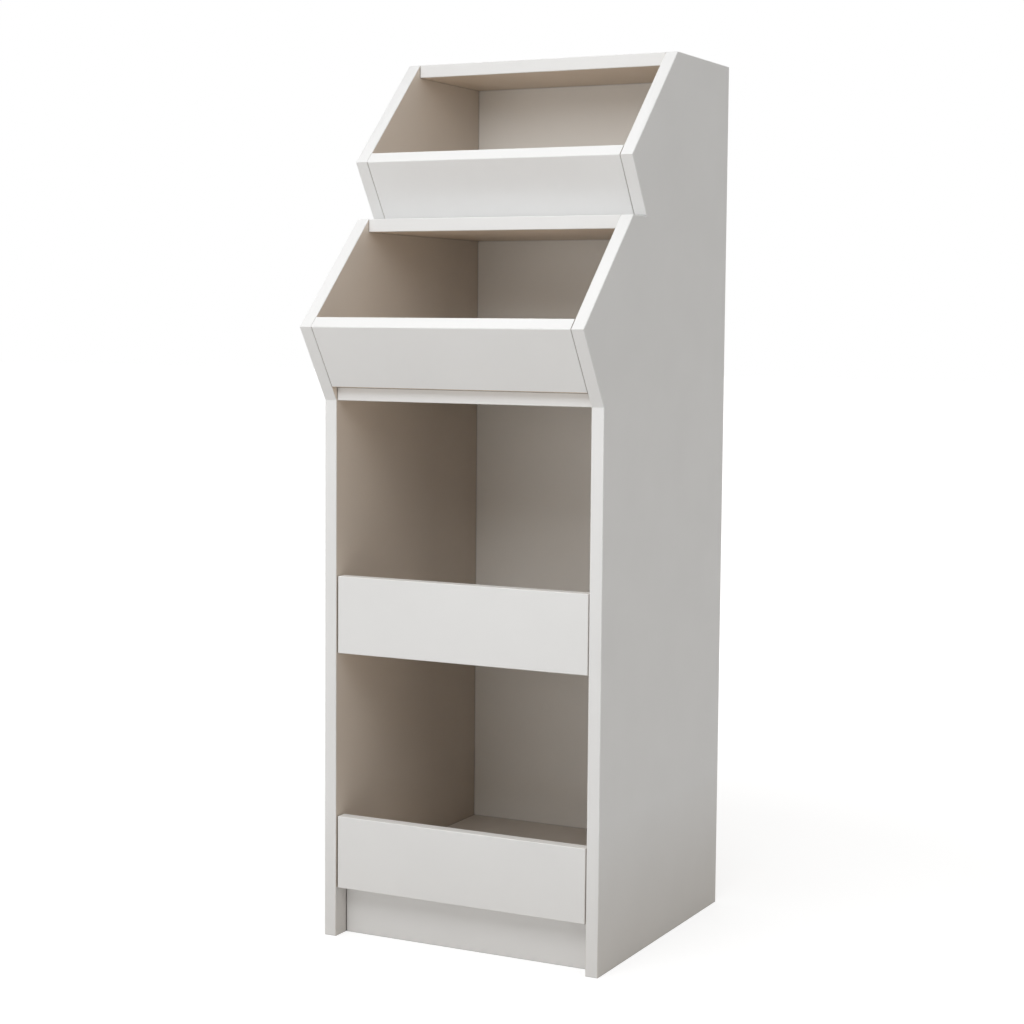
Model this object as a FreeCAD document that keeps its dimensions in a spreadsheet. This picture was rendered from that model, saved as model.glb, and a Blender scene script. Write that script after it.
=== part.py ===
"""Vegetable bin cabinet: a narrow white board cabinet with two tilted open bins above two open shelves.

Two side panels with a stepped front edge carry everything. Between them stand a top panel, two bin
floors, two shelves, two leaning bin fronts and a toe kick, each held at its ends by glued wooden dowels.
Each shelf has an upright lip doweled to its front edge. A thin back slides in grooves.

The origin is on the floor, under the middle of the outline. X runs to the right, Y to the back, Z up.
Distances along Y in the expressions below are taken from the front plane of the carcass, which is where
the straight lower part of the side panels ends.
"""

import FreeCAD, Part
import os
import Sketcher

PARTS_FOLDER = "parts"
FLUTES = 8
SOLVER_START = 1e-7
SAME_PLACE = 1e-3

SIZES = [
    ("overall_width", 420, "outside of one side panel to the outside of the other"),
    ("body_depth", 420, "front plane of the carcass to the rear edges"),
    ("board", 18, "thickness of every board but the back"),
    ("arris", 0.8, "chamfer that eases each visible edge"),
    ("kick_height", 69, "floor to the underside of the bottom shelf"),
    ("bottom_clear_height", 312, "clear height of the bottom compartment"),
    ("middle_clear_height", 331, "clear height of the middle compartment"),
    ("lower_front_rise", 100, "underside of the lower bin's floor to that bin's front rim"),
    ("lower_opening_rise", 150, "lower bin's front rim to the top of the upper bin's floor"),
    ("upper_front_rise", 78, "top of the upper bin's floor to that bin's front rim"),
    ("upper_opening_rise", 149, "upper bin's front rim to the top of the cabinet"),
    ("front_lean", 33, "degrees that the bin fronts lean out from upright"),
    ("opening_slope", 45, "degrees that the bin openings lean back from upright"),
    ("ledge_depth", 45, "how far the upper bin's floor stands out in front of its leaning front"),
    ("front_joint", 0.5, "open joint under a leaning front and at each of its ends"),
    ("floor_recess", 2.5, "lower bin's floor behind the front plane"),
    ("middle_lip_height", 107, "upright board in front of the middle shelf"),
    ("bottom_lip_height", 101, "upright board in front of the bottom shelf"),
    ("lip_recess", 1.5, "lips behind the front plane"),
    ("lip_side_gap", 2, "open joint at each end of a lip"),
    ("kick_recess", 28, "toe kick behind the front plane"),
    ("kick_end_gap", 0.8, "open joint at each end of the toe kick"),
    ("back_thickness", 3, "thickness of the back"),
    ("back_inset", 6, "rear edges of the sides to the back's rear face"),
    ("back_side_gap", 0.5, "play of the back across its groove, each face"),
    ("groove_depth", 8, "depth of the grooves for the back"),
    ("back_end_gap", 0.3, "back's edge to the bottom of its groove"),
    ("dowel_diameter", 8, "wooden dowel across its ridges"),
    ("dowel_length", 30, "wooden dowel"),
    ("dowel_grip", 11, "length of the dowel in the side panel or lip"),
    ("dowel_play", 0.05, "radial play of the dowel"),
    ("dowel_end_gap", 0.5, "end of the dowel to the bottom of its hole"),
    ("flute_depth", 0.5, "depth of the dowel's glue flutes"),
    ("shelf_dowel_inset", 50, "front or rear edge of a horizontal board to its dowels"),
    ("front_dowel_inset", 24, "lower edge or rim of a leaning front to its dowels, in height"),
    ("lip_dowel_inset", 60, "end of a lip to its nearer dowel"),
]

doc = FreeCAD.newDocument("vegetable_bin_cabinet")
sheet = doc.addObject("Spreadsheet::Sheet", "Sizes")
for row, (alias, size, meaning) in enumerate(SIZES, 1):
    sheet.set(f"A{row}", meaning)
    sheet.set(f"B{row}", str(size))
    sheet.setAlias(f"B{row}", alias)
doc.recompute()

# Heights above the floor.
MIDDLE_UNDERSIDE = "(Sizes.kick_height + Sizes.board + Sizes.bottom_clear_height)"
LOWER_UNDERSIDE = f"({MIDDLE_UNDERSIDE} + Sizes.board + Sizes.middle_clear_height)"
LOWER_TOP = f"({LOWER_UNDERSIDE} + Sizes.board)"
LOWER_RIM = f"({LOWER_UNDERSIDE} + Sizes.lower_front_rise)"
UPPER_TOP = f"({LOWER_RIM} + Sizes.lower_opening_rise)"
UPPER_UNDERSIDE = f"({UPPER_TOP} - Sizes.board)"
UPPER_RIM = f"({UPPER_TOP} + Sizes.upper_front_rise)"
HEIGHT = f"({UPPER_RIM} + Sizes.upper_opening_rise)"
TOP_UNDERSIDE = f"({HEIGHT} - Sizes.board)"

# Distances behind the front plane of the carcass.
LEAN = "tan(Sizes.front_lean)"
SLOPE = "tan(Sizes.opening_slope)"
LEANING_BOARD = "(Sizes.board / cos(Sizes.front_lean))"
LOWER_NOSE = f"(-Sizes.lower_front_rise * {LEAN})"
LEDGE_FRONT = f"({LOWER_NOSE} + Sizes.lower_opening_rise * {SLOPE})"
LEDGE_BACK = f"({LEDGE_FRONT} + Sizes.ledge_depth)"
UPPER_NOSE = f"({LEDGE_BACK} - Sizes.upper_front_rise * {LEAN})"
TOP_FRONT = f"({UPPER_NOSE} + Sizes.upper_opening_rise * {SLOPE})"
LIP_BACK = "(Sizes.lip_recess + Sizes.board)"
KICK_BACK = "(Sizes.kick_recess + Sizes.board)"
BACK_REAR = "(Sizes.body_depth - Sizes.back_inset)"
BACK_FRONT = f"({BACK_REAR} - Sizes.back_thickness)"
FRONT_PLANE = f"(-(Sizes.body_depth + {LOWER_NOSE}) / 2)"

HALF_INNER = "(Sizes.overall_width / 2 - Sizes.board)"
HALF_FRONT = f"({HALF_INNER} - Sizes.front_joint)"
HALF_LIP = f"({HALF_INNER} - Sizes.lip_side_gap)"
HALF_KICK = f"({HALF_INNER} - Sizes.kick_end_gap)"
DOWEL_REACH = "(Sizes.dowel_length - Sizes.dowel_grip)"
HOLE_RADIUS = "(Sizes.dowel_diameter / 2 + Sizes.dowel_play)"

# Each horizontal board between the sides: its front edge, its rear edge and the height of its underside.
SHELVES = {
    "top_panel": (TOP_FRONT, "Sizes.body_depth", TOP_UNDERSIDE),
    "upper_bin_floor": (LEDGE_FRONT, BACK_FRONT, UPPER_UNDERSIDE),
    "lower_bin_floor": ("Sizes.floor_recess", BACK_FRONT, LOWER_UNDERSIDE),
    "middle_shelf": (LIP_BACK, BACK_FRONT, MIDDLE_UNDERSIDE),
    "bottom_shelf": (LIP_BACK, BACK_FRONT, "Sizes.kick_height"),
}

# Each leaning front: a point on the line of its outer face (distance and height), the height of its
# lower edge and the height of its rim.
FRONTS = {
    "upper_bin_front": (LEDGE_BACK, UPPER_TOP, f"({UPPER_TOP} + Sizes.front_joint)", UPPER_RIM),
    "lower_bin_front": ("0", LOWER_UNDERSIDE, f"({LOWER_TOP} + Sizes.front_joint)", LOWER_RIM),
}

# Each lip: the height of its lower edge, which is level with its shelf's underside, and its own height.
LIPS = {
    "middle_shelf_lip": (MIDDLE_UNDERSIDE, "Sizes.middle_lip_height"),
    "bottom_shelf_lip": ("Sizes.kick_height", "Sizes.bottom_lip_height"),
}


def value(expression):
    """The number that an expression over the size cells gives."""
    found = sheet.evalExpression(expression)
    return float(getattr(found, "Value", found))


def outer_face(label, height):
    """How far behind the front plane a leaning front's outer face is at a height."""
    foot, foot_height, _, _ = FRONTS[label]
    return f"({foot} - ({height} - {foot_height}) * {LEAN})"


def end_dowel_places():
    """The distance and height of each dowel at the ends of each board."""
    places = {}
    for label, (front, rear, underside) in SHELVES.items():
        height = f"({underside} + Sizes.board / 2)"
        rows = (f"({front} + Sizes.shelf_dowel_inset)", f"({rear} - Sizes.shelf_dowel_inset)")
        places[label] = [(row, height) for row in rows]
    for label, (_, _, lower_edge, rim) in FRONTS.items():
        heights = (f"({lower_edge} + Sizes.front_dowel_inset)", f"({rim} - Sizes.front_dowel_inset)")
        middles = [f"({outer_face(label, height)} + {LEANING_BOARD} / 2)" for height in heights]
        places[label] = list(zip(middles, heights))
    places["toe_kick"] = [("(Sizes.kick_recess + Sizes.board / 2)", "(Sizes.kick_height / 2)")]
    return places


def lip_dowel_places(label):
    """The place across the cabinet and the height of each dowel between a lip and its shelf."""
    height = f"({LIPS[label][0]} + Sizes.board / 2)"
    column = f"({HALF_LIP} - Sizes.lip_dowel_inset)"
    return [(f"-{column}", height), (column, height)]


def new_body(label):
    """A body in cabinet coordinates, set back so that the origin is under the middle of the outline."""
    body = doc.addObject("PartDesign::Body", label)
    body.Label = label
    body.setExpression("Placement.Base.y", FRONT_PLANE)
    return body


def origin_plane(body, role):
    return next(feature for feature in body.Origin.OriginFeatures if feature.Role == role)


def new_sketch(body, name, role, offset="0"):
    """A sketch on one of the body's own origin planes, moved along its normal by offset."""
    sketch = body.newObject("Sketcher::SketchObject", name)
    sketch.AttachmentSupport = [(origin_plane(body, role), "")]
    sketch.MapMode = "FlatFace"
    sketch.setExpression("AttachmentOffset.Base.z", offset)
    return sketch


def constrain(sketch, constraints, bound):
    """Adds plain constraints and then those that are bound, each given as (arguments, expression)."""
    start = len(sketch.Constraints)
    drawn = [Sketcher.Constraint(*arguments, value(size) or SOLVER_START) for arguments, size in bound]
    sketch.addConstraint(constraints + drawn)
    for index, (_, size) in enumerate(bound, start + len(constraints)):
        sketch.setExpression(f"Constraints[{index}]", size)


def add_outline(sketch, corners):
    """A closed outline of straight lines through corners, each a pair of expressions."""
    points = [FreeCAD.Vector(value(x), value(y), 0) for x, y in corners]
    lines = [
        sketch.addGeometry(Part.LineSegment(start, end))
        for start, end in zip(points, points[1:] + points[:1])
    ]
    joints = [
        Sketcher.Constraint("Coincident", line, 2, following, 1)
        for line, following in zip(lines, lines[1:] + lines[:1])
    ]
    bound = []
    for line, (x, y) in zip(lines, corners):
        bound.append((("DistanceX", -1, 1, line, 1), x))
        bound.append((("DistanceY", -1, 1, line, 1), y))
    constrain(sketch, joints, bound)


def add_circles(sketch, centres, radius):
    """One circle at each centre, a pair of expressions."""
    bound = []
    for x, y in centres:
        middle = FreeCAD.Vector(value(x), value(y), 0)
        circle = sketch.addGeometry(Part.Circle(middle, FreeCAD.Vector(0, 0, 1), value(radius)))
        bound.append((("DistanceX", -1, 1, circle, 3), x))
        bound.append((("DistanceY", -1, 1, circle, 3), y))
        bound.append((("Radius", circle), radius))
    constrain(sketch, [], bound)


def rectangle(left, right, bottom, top):
    return [(left, bottom), (right, bottom), (right, top), (left, top)]


def fluted_outline(x, y):
    """The section of a dowel: ridges at its full radius with glue flutes between them."""
    ridge = "Sizes.dowel_diameter / 2"
    flute = "(Sizes.dowel_diameter / 2 - Sizes.flute_depth)"
    corners = []
    for step in range(2 * FLUTES):
        radius = flute if step % 2 else ridge
        angle = 180 / FLUTES * step
        corners.append((f"({x} + {radius} * cos({angle}))", f"({y} + {radius} * sin({angle}))"))
    return corners


def pad(body, sketch, length, reverse=False, middle=False):
    feature = body.newObject("PartDesign::Pad", "Board")
    feature.Profile = sketch
    feature.setExpression("Length", length)
    feature.Reversed = reverse
    feature.Midplane = middle
    doc.recompute()
    return feature


def pocket(body, sketch, length, reverse=False):
    """Cuts a sketch into the body and checks that something came away."""
    before = body.Shape.Volume
    feature = body.newObject("PartDesign::Pocket", "Cut")
    feature.Profile = sketch
    feature.setExpression("Length", length)
    feature.Reversed = reverse
    doc.recompute()
    if not body.Shape.Volume < before:
        raise RuntimeError(f"{sketch.Label} in {body.Label} cuts nothing")
    return feature


def mirror_ends(body, feature):
    """Repeats at the left end of a board what was made at its right end."""
    mirrored = body.newObject("PartDesign::Mirrored", "OtherEnd")
    mirrored.Originals = [feature]
    mirrored.MirrorPlane = (origin_plane(body, "YZ_Plane"), [""])
    body.Tip = mirrored
    doc.recompute()


def ease(body, shows):
    """Chamfers the straight edges of the body for which shows(edge) is true."""
    base = body.Tip
    names = [f"Edge{number}" for number, edge in enumerate(base.Shape.Edges, 1) if shows(edge)]
    chamfer = body.newObject("PartDesign::Chamfer", "Arris")
    chamfer.Base = (base, names)
    chamfer.setExpression("Size", "Sizes.arris")
    doc.recompute()


def on_plane(edge, axis, position):
    """Whether a straight edge lies in the plane at that position along axis 0, 1 or 2."""
    if not isinstance(edge.Curve, Part.Line):
        return False
    return all(abs(vertex.Point[axis] - position) < SAME_PLACE for vertex in edge.Vertexes)


def drill_ends(body, label):
    """Dowel holes in both ends of a board between the sides."""
    holes = new_sketch(body, "EndDowelHoles", "YZ_Plane", HALF_INNER)
    add_circles(holes, end_dowel_places()[label], HOLE_RADIUS)
    mirror_ends(body, pocket(body, holes, f"{DOWEL_REACH} + Sizes.dowel_end_gap"))


def build_side_panel(label, side):
    """One side panel, its inner face at x = 0 of the body, with side -1 for left and 1 for right."""
    body = new_body(label)
    body.setExpression("Placement.Base.x", f"{side} * {HALF_INNER}")
    profile = new_sketch(body, "Profile", "YZ_Plane")
    add_outline(
        profile,
        [
            ("0", "0"),
            ("0", LOWER_UNDERSIDE),
            (LOWER_NOSE, LOWER_RIM),
            (LEDGE_FRONT, UPPER_TOP),
            (LEDGE_BACK, UPPER_TOP),
            (UPPER_NOSE, UPPER_RIM),
            (TOP_FRONT, HEIGHT),
            ("Sizes.body_depth", HEIGHT),
            ("Sizes.body_depth", "0"),
        ],
    )
    outward = side > 0
    pad(body, profile, "Sizes.board", reverse=not outward)

    groove = new_sketch(body, "BackGroove", "YZ_Plane")
    groove_front = f"({BACK_FRONT} - Sizes.back_side_gap)"
    groove_rear = f"({BACK_REAR} + Sizes.back_side_gap)"
    groove_end = f"({TOP_UNDERSIDE} + Sizes.groove_depth)"
    add_outline(groove, rectangle(groove_front, groove_rear, "Sizes.kick_height", groove_end))
    pocket(body, groove, "Sizes.groove_depth", reverse=outward)

    holes = new_sketch(body, "DowelHoles", "YZ_Plane")
    add_circles(holes, [place for places in end_dowel_places().values() for place in places], HOLE_RADIUS)
    pocket(body, holes, "Sizes.dowel_grip + Sizes.dowel_end_gap", reverse=outward)

    outer = side * value("Sizes.board")
    depth = value("Sizes.body_depth")
    groove_start = value(groove_front)

    def shows(edge):
        """Edges of both faces, apart from those on the floor, at the rear and of the groove."""
        if not (on_plane(edge, 0, 0) or on_plane(edge, 0, outer)):
            return False
        if on_plane(edge, 2, 0) or on_plane(edge, 1, depth):
            return False
        return min(vertex.Point[1] for vertex in edge.Vertexes) < groove_start - SAME_PLACE

    ease(body, shows)
    return body


def build_shelf(label):
    """A horizontal board between the sides, with dowel holes in its ends."""
    front, rear, underside = SHELVES[label]
    body = new_body(label)
    plan = new_sketch(body, "Plan", "XY_Plane", underside)
    add_outline(plan, rectangle(f"-{HALF_INNER}", HALF_INNER, front, rear))
    pad(body, plan, "Sizes.board")
    drill_ends(body, label)
    if label == "top_panel":
        cut_top_groove(body)
    lip = f"{label}_lip"
    if lip in LIPS:
        holes = new_sketch(body, "LipDowelHoles", "XZ_Plane", f"-{LIP_BACK}")
        add_circles(holes, lip_dowel_places(lip), HOLE_RADIUS)
        pocket(body, holes, f"{DOWEL_REACH} + Sizes.dowel_end_gap")
    else:
        ease(body, lambda edge: on_plane(edge, 1, value(front)))
    return body


def cut_top_groove(body):
    """The groove under the top panel that takes the upper edge of the back."""
    groove = new_sketch(body, "BackGroove", "XY_Plane", TOP_UNDERSIDE)
    groove_front = f"({BACK_FRONT} - Sizes.back_side_gap)"
    groove_rear = f"({BACK_REAR} + Sizes.back_side_gap)"
    add_outline(groove, rectangle(f"-{HALF_INNER}", HALF_INNER, groove_front, groove_rear))
    pocket(body, groove, "Sizes.groove_depth", reverse=True)


def build_front(label):
    """A leaning bin front: level lower edge, rim cut in the plane of the bin's opening."""
    _, _, lower_edge, rim = FRONTS[label]
    body = new_body(label)
    low = outer_face(label, lower_edge)
    nose = outer_face(label, rim)
    rim_width = "(Sizes.board / sin(Sizes.front_lean + Sizes.opening_slope))"
    rim_back = f"({nose} + {rim_width} * sin(Sizes.opening_slope))"
    rim_top = f"({rim} + {rim_width} * cos(Sizes.opening_slope))"
    section = new_sketch(body, "Section", "YZ_Plane")
    low_back = f"({low} + {LEANING_BOARD})"
    add_outline(section, [(low, lower_edge), (low_back, lower_edge), (rim_back, rim_top), (nose, rim)])
    pad(body, section, f"2 * {HALF_FRONT}", middle=True)
    drill_ends(body, label)

    low_point = FreeCAD.Vector(0, value(low), value(lower_edge))
    up_the_face = FreeCAD.Vector(0, value(nose), value(rim)) - low_point

    def on_outer_face(vertex):
        offset = vertex.Point - low_point
        return abs(offset.y * up_the_face.z - offset.z * up_the_face.y) < SAME_PLACE * up_the_face.Length

    ease(body, lambda edge: isinstance(edge.Curve, Part.Line) and all(map(on_outer_face, edge.Vertexes)))
    return body


def build_lip(label):
    """An upright board in front of a shelf, with dowel holes in its rear face."""
    lower_edge, height = LIPS[label]
    body = new_body(label)
    face = new_sketch(body, "Face", "XZ_Plane", f"-{LIP_BACK}")
    add_outline(face, rectangle(f"-{HALF_LIP}", HALF_LIP, lower_edge, f"({lower_edge} + {height})"))
    pad(body, face, "Sizes.board")
    holes = new_sketch(body, "DowelHoles", "XZ_Plane", f"-{LIP_BACK}")
    add_circles(holes, lip_dowel_places(label), HOLE_RADIUS)
    pocket(body, holes, "Sizes.dowel_grip + Sizes.dowel_end_gap", reverse=True)

    front, rear = value("Sizes.lip_recess"), value(LIP_BACK)
    top = value(f"({lower_edge} + {height})")
    ease(body, lambda edge: on_plane(edge, 1, front) or (on_plane(edge, 2, top) and on_plane(edge, 1, rear)))
    return body


def build_kick():
    """The recessed board that closes the front below the bottom shelf."""
    body = new_body("toe_kick")
    face = new_sketch(body, "Face", "XZ_Plane", f"-{KICK_BACK}")
    add_outline(face, rectangle(f"-{HALF_KICK}", HALF_KICK, "0", "Sizes.kick_height"))
    pad(body, face, "Sizes.board")
    drill_ends(body, "toe_kick")
    front = value("Sizes.kick_recess")
    ease(body, lambda edge: on_plane(edge, 1, front) and not on_plane(edge, 2, 0))
    return body


def build_back():
    """The thin back, which runs in the grooves of the sides and of the top panel."""
    body = new_body("back_panel")
    half = f"({HALF_INNER} + Sizes.groove_depth - Sizes.back_end_gap)"
    top = f"({TOP_UNDERSIDE} + Sizes.groove_depth - Sizes.back_end_gap)"
    face = new_sketch(body, "Face", "XZ_Plane", f"-{BACK_REAR}")
    add_outline(face, rectangle(f"-{half}", half, "Sizes.kick_height", top))
    pad(body, face, "Sizes.back_thickness")
    return body


def build_end_dowels(label, places):
    """The dowels at both ends of a board, half in the board and half in the side panels."""
    body = new_body(f"{label}_dowels")
    body.AllowCompound = True
    sections = new_sketch(body, "Sections", "YZ_Plane", f"{HALF_INNER} - {DOWEL_REACH}")
    for x, y in places:
        add_outline(sections, fluted_outline(x, y))
    mirror_ends(body, pad(body, sections, "Sizes.dowel_length"))
    return body


def build_lip_dowels(label):
    """The dowels between a lip and the front edge of its shelf."""
    body = new_body(f"{label}_dowels")
    body.AllowCompound = True
    sections = new_sketch(body, "Sections", "XZ_Plane", f"-({LIP_BACK} + {DOWEL_REACH})")
    for x, y in lip_dowel_places(label):
        add_outline(sections, fluted_outline(x, y))
    pad(body, sections, "Sizes.dowel_length")
    return body


def check_document(subparts):
    """Stops on any failed object, and on any sub-part without a valid shape of closed solids."""
    for thing in doc.Objects:
        if "Invalid" in thing.State or "Error" in thing.State:
            raise RuntimeError(f"{thing.Label} failed: {thing.State}")
    for subpart in subparts:
        shape = subpart.Shape
        if shape.isNull() or not shape.isValid() or not shape.Solids:
            raise RuntimeError(f"{subpart.Label} has no valid solid")


def main():
    subparts = [build_side_panel("left_side_panel", -1), build_side_panel("right_side_panel", 1)]
    subparts += [build_shelf(label) for label in SHELVES]
    subparts += [build_front(label) for label in FRONTS]
    subparts += [build_lip(label) for label in LIPS]
    subparts += [build_kick(), build_back()]
    subparts += [build_end_dowels(label, places) for label, places in end_dowel_places().items()]
    subparts += [build_lip_dowels(label) for label in LIPS]
    doc.recompute()
    check_document(subparts)
    os.makedirs(PARTS_FOLDER, exist_ok=True)
    for subpart in subparts:
        shape = subpart.Shape
        shape.exportStep(os.path.join(PARTS_FOLDER, f"{subpart.Label}.step"))
        box = shape.BoundBox
        spans = [(box.XMin, box.XMax), (box.YMin, box.YMax), (box.ZMin, box.ZMax)]
        corners = ", ".join(f"{low:.1f} to {high:.1f}" for low, high in spans)
        print(f"{subpart.Label}: {len(shape.Solids)} solids, {shape.Volume:.0f} mm3, {corners}")


main()
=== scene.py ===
"""Looks of a white vegetable bin cabinet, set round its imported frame, in metres."""

import math

import bpy
from mathutils import Matrix, Vector


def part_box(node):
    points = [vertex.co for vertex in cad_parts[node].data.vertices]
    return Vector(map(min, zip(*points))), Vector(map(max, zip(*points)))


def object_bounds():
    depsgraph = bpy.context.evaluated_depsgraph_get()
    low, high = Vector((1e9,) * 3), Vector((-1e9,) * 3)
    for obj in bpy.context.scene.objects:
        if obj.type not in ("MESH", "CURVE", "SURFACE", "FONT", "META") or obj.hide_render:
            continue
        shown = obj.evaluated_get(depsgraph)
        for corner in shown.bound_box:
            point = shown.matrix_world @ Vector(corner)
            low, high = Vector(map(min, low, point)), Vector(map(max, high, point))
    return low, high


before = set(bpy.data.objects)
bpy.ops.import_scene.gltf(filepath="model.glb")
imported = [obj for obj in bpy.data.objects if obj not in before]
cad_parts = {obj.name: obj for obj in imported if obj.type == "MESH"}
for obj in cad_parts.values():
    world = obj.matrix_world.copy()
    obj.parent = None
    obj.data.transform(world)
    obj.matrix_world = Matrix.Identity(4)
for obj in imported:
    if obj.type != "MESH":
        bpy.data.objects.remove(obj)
CAD_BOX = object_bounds()

MM = 0.001
TINY = 0.5 * MM

# The photograph's camera: a long lens, a little above the cabinet's middle and to its right.
IMAGE_PIXELS = 1024
SENSOR_WIDTH = 36.0
FOCAL_PIXELS = 2103.0
HORIZON_PIXEL = 500.0
CAMERA_PLACE = Vector((1.3254, -2.6328, 0.8547))
CAMERA_YAW = 26.921
CAMERA_PITCH = -4.799
CAMERA_ROLL = 0.473

# The boards get painted shade where they look into a bin or a compartment. The lips get none.
BOARDS = [
    "left_side_panel",
    "right_side_panel",
    "top_panel",
    "upper_bin_floor",
    "lower_bin_floor",
    "middle_shelf",
    "bottom_shelf",
    "upper_bin_front",
    "lower_bin_front",
    "toe_kick",
]
LIPS = ["middle_shelf_lip", "bottom_shelf_lip"]
DOWELS = [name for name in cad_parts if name.endswith("_dowels")]

# Colours: boards, painted highlight and shade, the back, the dowels, the floor and the studio.
WHITE = (0.84, 0.84, 0.838)
# Painted highlight for sharp edges and for the lips' top faces.
PAINTED_HIGHLIGHT_WHITE = (0.92, 0.92, 0.915)
# Painted shade towards the floor.
FOOT_SHADE_TINT = (0.81, 0.775, 0.735)
# Painted shade inside the bins: on walls, on undersides, and on floors and shelves.
SHADED_INSIDE_WHITE = (0.80, 0.71, 0.62)
SHADED_UNDERSIDE_WHITE = (0.80, 0.67, 0.54)
SHADED_SHELF_WHITE = (0.83, 0.775, 0.72)
BACK_WHITE = (0.90, 0.88, 0.845)
DARK_FIBRE, PALE_FIBRE = (0.235, 0.145, 0.082), (0.40, 0.27, 0.165)
DARK_BEECH, PALE_BEECH = (0.40, 0.25, 0.13), (0.66, 0.48, 0.29)
FLOOR_SEEN = (0.42, 0.42, 0.42, 1.0)
FLOOR_BOUNCE = (0.70, 0.68, 0.66, 1.0)
STUDIO_SEEN = (1.0, 1.0, 1.0)
STUDIO_BOUNCE = (0.37, 0.365, 0.352)
PLAIN_LIGHT = (1.0, 1.0, 1.0)
COOL_LIGHT = (0.98, 0.99, 1.0)

# Where the inside of the cabinet begins. The upper bin's floor has a ledge in front of its bin,
# which belongs to the outside. A face looks along an axis where its normal's share passes FACING.
FACING = 0.5
INNER_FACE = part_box("right_side_panel")[0].x
TOE_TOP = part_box("bottom_shelf")[0].z
LEDGE_DEPTH = 45 * MM
LEDGE_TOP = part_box("upper_bin_floor")[1].z
LEDGE_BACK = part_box("upper_bin_floor")[0].y + LEDGE_DEPTH

# The painted shade inside grows deeper behind the openings, which step back between two heights.
OPENING_HEIGHTS = (0.75, 1.2)
OPENING_FRONTS = (-0.16, 0.0)
SHADE_DEPTH = 0.26
WALL_SHADE = 0.76
SHELF_SHADE = 0.88

# How high the painted shade reaches above the floor.
FOOT_SHADE_HEIGHT = 200 * MM
# How far the painted edge highlight and the glossier satin reach from an edge.
EDGE_MARK_REACH = 1.2 * MM
CREVICE_REACH = 3 * MM
SANDED_ROUND = 0.35 * MM
SHARP_ANGLE = math.radians(30)
WELD_REACH = 1e-6
FLOOR_REACH = 30.0


class Graph:
    """A node tree under construction. Inputs, by name or number, are values or nodes' outputs."""

    def __init__(self, tree):
        self.tree = tree
        tree.nodes.clear()

    def add(self, kind, inputs, **settings):
        node = self.tree.nodes.new(kind)
        for name, setting in settings.items():
            setattr(node, name, setting)
        for socket, source in inputs.items():
            if isinstance(source, bpy.types.NodeSocket):
                self.tree.links.new(source, node.inputs[socket])
            else:
                node.inputs[socket].default_value = source
        return node

    def maths(self, operation, first, second=0.0):
        inputs = {0: first, 1: second}
        return self.add("ShaderNodeMath", inputs, operation=operation).outputs[0]

    def above(self, value, limit):
        return self.maths("GREATER_THAN", value, limit)

    def below(self, value, limit):
        return self.maths("LESS_THAN", value, limit)

    def product(self, factors):
        result = factors[0]
        for factor in factors[1:]:
            result = self.maths("MULTIPLY", result, factor)
        return result

    def noise(self, place, scale, detail, roughness):
        inputs = {"Vector": place, "Scale": scale, "Detail": detail, "Roughness": roughness}
        return self.add("ShaderNodeTexNoise", inputs).outputs["Fac"]

    def spread(self, source, span, onto):
        """Maps one span of a value onto another, held at both ends."""
        inputs = {"Value": source, "From Min": span[0], "From Max": span[1]}
        inputs |= {"To Min": onto[0], "To Max": onto[1]}
        return self.add("ShaderNodeMapRange", inputs).outputs["Result"]

    def mix(self, factor, first, second, blend="MIX"):
        """Two colours mixed, each a triple or another node's output."""
        sides = [(*side, 1.0) if isinstance(side, tuple) else side for side in (first, second)]
        inputs = {0: factor, 6: sides[0], 7: sides[1]}
        return self.add("ShaderNodeMix", inputs, data_type="RGBA", blend_type=blend).outputs[2]

    def dim(self, colour, shade):
        return self.mix(1.0, colour, shade, "MULTIPLY")

    def bump(self, height, strength, distance):
        inputs = {"Height": height, "Strength": strength, "Distance": distance}
        return self.add("ShaderNodeBump", inputs).outputs["Normal"]

    def object_place(self):
        return self.add("ShaderNodeTexCoord", {}).outputs["Object"]

    def spot_and_facing(self):
        """The coordinates of the place that is shaded, and those of its face's own normal."""
        geometry = self.add("ShaderNodeNewGeometry", {}).outputs
        spot = self.add("ShaderNodeSeparateXYZ", {0: geometry["Position"]}).outputs
        facing = self.add("ShaderNodeSeparateXYZ", {0: geometry["True Normal"]}).outputs
        return spot, facing

    def seen_or_mirrored(self):
        """1 for rays from the camera, a glossy surface or glass, and 0 for light that bounces."""
        path = self.add("ShaderNodeLightPath", {}).outputs
        shown = self.maths("MAXIMUM", path["Is Camera Ray"], path["Is Glossy Ray"])
        return self.maths("MAXIMUM", shown, path["Is Transmission Ray"])

    def finish_surface(self, **inputs):
        """The shader of a solid material. An underscore in an input's name stands for a space."""
        named = {name.replace("_", " "): source for name, source in inputs.items()}
        shader = self.add("ShaderNodeBsdfPrincipled", named)
        self.add("ShaderNodeOutputMaterial", {"Surface": shader.outputs["BSDF"]})


def new_material(name):
    material = bpy.data.materials.new(name)
    material.use_nodes = True
    return material, Graph(material.node_tree)


def crevice_shade(graph):
    """Painted shade: 1 in the open, less within a few millimetres of a joint or corner."""
    reach = {"Distance": CREVICE_REACH}
    openness = graph.add("ShaderNodeAmbientOcclusion", reach, samples=8).outputs["AO"]
    return graph.spread(openness, (0.35, 0.85), (0.6, 1.0))


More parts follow.
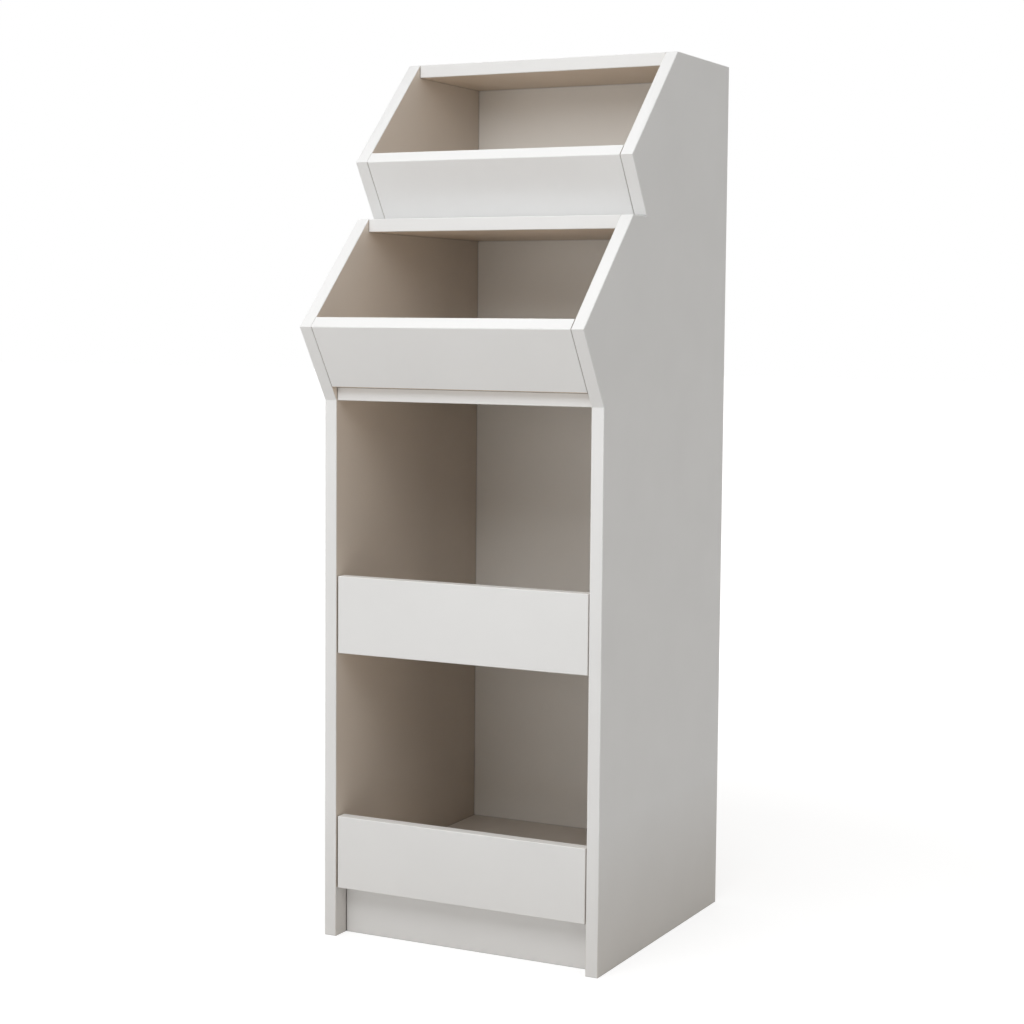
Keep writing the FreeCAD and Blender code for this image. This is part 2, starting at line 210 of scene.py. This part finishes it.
def edge_highlight_wear_mask(graph, place):
    """1 on a sharp edge, in patches, and 0 on the flat: a painted highlight and a glossier, worn
    satin.
    """
    flat = graph.add("ShaderNodeNewGeometry", {}).outputs["Normal"]
    rounded = graph.add("ShaderNodeBevel", {"Radius": EDGE_MARK_REACH}, samples=6).outputs["Normal"]
    compare = graph.add("ShaderNodeVectorMath", {0: flat, 1: rounded}, operation="DOT_PRODUCT")
    edge = graph.spread(compare.outputs["Value"], (0.80, 0.995), (1.0, 0.0))
    patches = graph.noise(place, scale=35.0, detail=4.0, roughness=0.6)
    patchy = graph.spread(patches, (0.35, 0.6), (0.45, 1.0))
    return graph.maths("MULTIPLY", edge, patchy)


def foot_shade(graph, spot, facing):
    """Painted shade: 1 at the floor and 0 above its height; weaker on faces that don't look
    sideways.
    """
    low = graph.spread(spot["Z"], (0.0, FOOT_SHADE_HEIGHT), (1.0, 0.0))
    sideways = graph.spread(graph.maths("ABSOLUTE", facing["X"]), (0.4, 0.6), (0.3, 1.0))
    return graph.maths("MULTIPLY", low, sideways)


def inside_shade_colour(graph, spot, facing):
    """Painted shade on the white inside a bin: warmer, most of all overhead, and dimmer with
    depth.
    A floor or shelf faces the light, so it keeps more of its white."""
    opening = graph.spread(spot["Z"], OPENING_HEIGHTS, OPENING_FRONTS)
    depth = graph.maths("SUBTRACT", spot["Y"], opening)
    underside = graph.below(facing["Z"], -FACING)
    upward = graph.above(facing["Z"], FACING)
    colour = graph.mix(underside, SHADED_INSIDE_WHITE, SHADED_UNDERSIDE_WHITE)
    colour = graph.mix(upward, colour, SHADED_SHELF_WHITE)
    deepest = graph.spread(upward, (0.0, 1.0), (WALL_SHADE, SHELF_SHADE))
    return graph.dim(colour, graph.spread(depth, (0.0, SHADE_DEPTH), (1.0, deepest)))


def inside_shade_mask(graph, spot, facing):
    """1 on the faces that look into a bin or a compartment, where the shade is painted."""
    on_ledge = graph.product(
        [
            graph.above(spot["Z"], LEDGE_TOP - TINY),
            graph.below(spot["Z"], LEDGE_TOP + TINY),
            graph.below(spot["Y"], LEDGE_BACK),
            graph.above(facing["Z"], FACING),
        ]
    )
    return graph.product(
        [
            graph.below(graph.maths("ABSOLUTE", spot["X"]), INNER_FACE + TINY),
            graph.above(facing["Y"], -FACING),
            graph.below(spot["Z"], CAD_BOX[1].z - TINY),
            graph.above(spot["Z"], TOE_TOP + TINY),
            graph.below(spot["Y"], CAD_BOX[1].y - TINY),
            graph.maths("SUBTRACT", 1.0, on_ledge),
        ]
    )


def laminate_material(name, has_inside_shade):
    """Satin laminate: mottling, a fine pearl, glossier edges, painted highlights and painted
    shade.
    """
    material, graph = new_material(name)
    place = graph.object_place()
    spot, facing = graph.spot_and_facing()
    bright_worn_edges = edge_highlight_wear_mask(graph, place)
    # Painted highlight: sharp edges are made lighter, in patches.
    colour = graph.mix(bright_worn_edges, WHITE, PAINTED_HIGHLIGHT_WHITE)
    mottling = graph.noise(place, scale=9.0, detail=5.0, roughness=0.55)
    shade = graph.spread(mottling, (0.3, 0.7), (0.975, 1.0))
    # Painted shade on the faces inside a bin and in the joints.
    if has_inside_shade:
        inside = inside_shade_mask(graph, spot, facing)
        colour = graph.mix(inside, colour, inside_shade_colour(graph, spot, facing))
        shade = graph.maths("MULTIPLY", shade, crevice_shade(graph))
    else:
        # Painted highlight: the lips' top faces are made whiter.
        colour = graph.mix(graph.above(facing["Z"], FACING), colour, PAINTED_HIGHLIGHT_WHITE)
    colour = graph.dim(colour, shade)
    # Painted shade: darker and warmer towards the floor, most on the sides.
    shaded_foot = graph.dim(colour, FOOT_SHADE_TINT)
    colour = graph.mix(foot_shade(graph, spot, facing), colour, shaded_foot)
    smears = graph.noise(place, scale=22.0, detail=3.0, roughness=0.6)
    satin = graph.spread(smears, (0.0, 1.0), (0.36, 0.52))
    satin = graph.maths("SUBTRACT", satin, graph.maths("MULTIPLY", bright_worn_edges, 0.08))
    pearl = graph.noise(place, scale=900.0, detail=2.0, roughness=0.5)
    relief = graph.bump(pearl, strength=0.06, distance=0.2 * MM)
    graph.finish_surface(Base_Color=colour, Roughness=satin, Normal=relief, Specular_IOR_Level=0.4)
    return material


def hardboard_material():
    """Thin board, lacquered on the face that looks inside and bare, fibrous brown at the rear."""
    material, graph = new_material("hardboard")
    place = graph.object_place()
    facing = graph.spot_and_facing()[1]
    bare = graph.above(facing["Y"], FACING)
    fibres = graph.noise(place, scale=420.0, detail=6.0, roughness=0.7)
    clouds = graph.noise(place, scale=14.0, detail=4.0, roughness=0.6)
    brown = graph.mix(graph.spread(fibres, (0.3, 0.7), (0.0, 1.0)), DARK_FIBRE, PALE_FIBRE)
    brown = graph.dim(brown, graph.spread(clouds, (0.3, 0.7), (0.86, 1.0)))
    # The lacquered face gets painted shade in its joints.
    colour = graph.mix(bare, graph.dim(BACK_WHITE, crevice_shade(graph)), brown)
    roughness = graph.spread(bare, (0.0, 1.0), (0.48, 0.85))
    relief = graph.bump(fibres, strength=0.25, distance=0.15 * MM)
    graph.finish_surface(Base_Color=colour, Roughness=roughness, Normal=relief)
    return material


def beech_material():
    """Bare turned beech: pale straw wood with fine darker flecks along the dowel."""
    material, graph = new_material("bare_beech")
    along_x_fine_across = (60.0, 700.0, 700.0)
    stretch = {"Vector": graph.object_place(), "Scale": along_x_fine_across}
    place = graph.add("ShaderNodeMapping", stretch).outputs["Vector"]
    grain = graph.noise(place, scale=1.0, detail=6.0, roughness=0.6)
    colour = graph.mix(graph.spread(grain, (0.3, 0.75), (0.0, 1.0)), DARK_BEECH, PALE_BEECH)
    relief = graph.bump(grain, strength=0.3, distance=0.1 * MM)
    graph.finish_surface(Base_Color=colour, Roughness=0.7, Normal=relief)
    return material


def dress(name, material):
    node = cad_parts[name]
    node.data.materials.clear()
    node.data.materials.append(material)
    return node


def soften(node):
    """Rounds the chamfered edges a little further, as edges that have been sanded."""
    weld = node.modifiers.new("weld", "WELD")
    weld.merge_threshold = WELD_REACH
    bevel = node.modifiers.new("soft_edges", "BEVEL")
    bevel.width = SANDED_ROUND
    bevel.segments = 2
    bevel.limit_method = "ANGLE"
    bevel.angle_limit = SHARP_ANGLE


def dress_cabinet():
    laminate = laminate_material("white_laminate", has_inside_shade=True)
    for name in BOARDS:
        soften(dress(name, laminate))
    lip_laminate = laminate_material("white_laminate_lips", has_inside_shade=False)
    for name in LIPS:
        soften(dress(name, lip_laminate))
    dress("back_panel", hardboard_material())
    beech = beech_material()
    for name in DOWELS:
        dress(name, beech)


def floor_material():
    """The camera sees the floor part lit and part glowing, so that it is white but for a faint
    shadow. It glows a little more away from the cabinet, where less light falls on it."""
    material, graph = new_material("pale_floor")
    bounced = graph.add("ShaderNodeBsdfDiffuse", {"Color": FLOOR_BOUNCE}).outputs[0]
    lit = graph.add("ShaderNodeBsdfDiffuse", {"Color": FLOOR_SEEN}).outputs[0]
    measure = graph.add("ShaderNodeVectorMath", {0: graph.object_place()}, operation="LENGTH")
    strength = graph.spread(measure.outputs["Value"], (0.8, 2.5), (0.70, 0.90))
    glow = graph.add("ShaderNodeEmission", {"Strength": strength}).outputs[0]
    shown = graph.add("ShaderNodeAddShader", {0: lit, 1: glow}).outputs[0]
    sides = {0: graph.seen_or_mirrored(), 1: bounced, 2: shown}
    surface = graph.add("ShaderNodeMixShader", sides).outputs[0]
    graph.add("ShaderNodeOutputMaterial", {"Surface": surface})
    return material


def make_floor():
    mesh = bpy.data.meshes.new("floor")
    signs = [(-1, -1), (1, -1), (1, 1), (-1, 1)]
    corners = [(x * FLOOR_REACH, y * FLOOR_REACH, 0) for x, y in signs]
    mesh.from_pydata(corners, [], [(0, 1, 2, 3)])
    mesh.materials.append(floor_material())
    floor = bpy.data.objects.new("floor", mesh)
    bpy.context.scene.collection.objects.link(floor)


def make_world():
    """White where it is seen, and dim and a little warm as a source of light."""
    world = bpy.data.worlds.new("studio")
    bpy.context.scene.world = world
    world.use_nodes = True
    graph = Graph(world.node_tree)
    colour = graph.mix(graph.seen_or_mirrored(), STUDIO_BOUNCE, STUDIO_SEEN)
    background = graph.add("ShaderNodeBackground", {"Color": colour, "Strength": 1.0})
    graph.add("ShaderNodeOutputWorld", {"Surface": background.outputs[0]})


def turned(towards):
    """The rotation of a lamp that has this direction behind it."""
    return Vector(towards).to_track_quat("Z", "Y").to_euler()


def add_sun(name, towards_light, strength, spread_degrees):
    """A soft lamp at infinity, so that the floor is lit evenly."""
    lamp = bpy.data.lights.new(name, "SUN")
    lamp.energy = strength
    lamp.angle = math.radians(spread_degrees)
    sun = bpy.data.objects.new(name, lamp)
    sun.rotation_euler = turned(towards_light)
    bpy.context.scene.collection.objects.link(sun)


def add_softbox(name, place, target_height, size, watts, colour):
    """A wide lamp that is aimed at a height on the cabinet's middle line."""
    lamp = bpy.data.lights.new(name, "AREA")
    lamp.shape = "RECTANGLE"
    lamp.size, lamp.size_y = size
    lamp.energy = watts
    lamp.color = colour
    softbox = bpy.data.objects.new(name, lamp)
    softbox.location = place
    softbox.rotation_euler = turned(Vector(place) - Vector((0, 0, target_height)))
    softbox.visible_camera = False
    bpy.context.scene.collection.objects.link(softbox)


def light_studio():
    add_sun("overhead", towards_light=(-0.08, -0.12, 1.0), strength=0.77, spread_degrees=70)
    add_softbox("softbox", (0.15, -1.5, 1.85), 0.9, size=(1.4, 1.0), watts=15.2, colour=COOL_LIGHT)
    add_softbox("low_fill", (-0.8, -2.9, 0.7), 0.6, size=(1.2, 1.0), watts=7.2, colour=PLAIN_LIGHT)
    add_softbox("back_fill", (-1.0, 2.8, 1.3), 0.7, size=(1.6, 1.2), watts=8, colour=PLAIN_LIGHT)


def make_camera():
    data = bpy.data.cameras.new("camera")
    data.sensor_width = SENSOR_WIDTH
    data.lens = FOCAL_PIXELS / IMAGE_PIXELS * SENSOR_WIDTH
    data.shift_y = (HORIZON_PIXEL - IMAGE_PIXELS / 2) / IMAGE_PIXELS
    camera = bpy.data.objects.new("camera", data)
    turn = Matrix.Rotation(math.radians(CAMERA_YAW), 4, "Z")
    tilt = Matrix.Rotation(math.radians(90 + CAMERA_PITCH), 4, "X")
    roll = Matrix.Rotation(math.radians(CAMERA_ROLL), 4, "Z")
    camera.matrix_world = Matrix.Translation(CAMERA_PLACE) @ turn @ tilt @ roll
    bpy.context.scene.collection.objects.link(camera)
    bpy.context.scene.camera = camera


dress_cabinet()
make_floor()
make_world()
light_studio()
make_camera()
bpy.context.scene.view_settings.view_transform = "Standard"
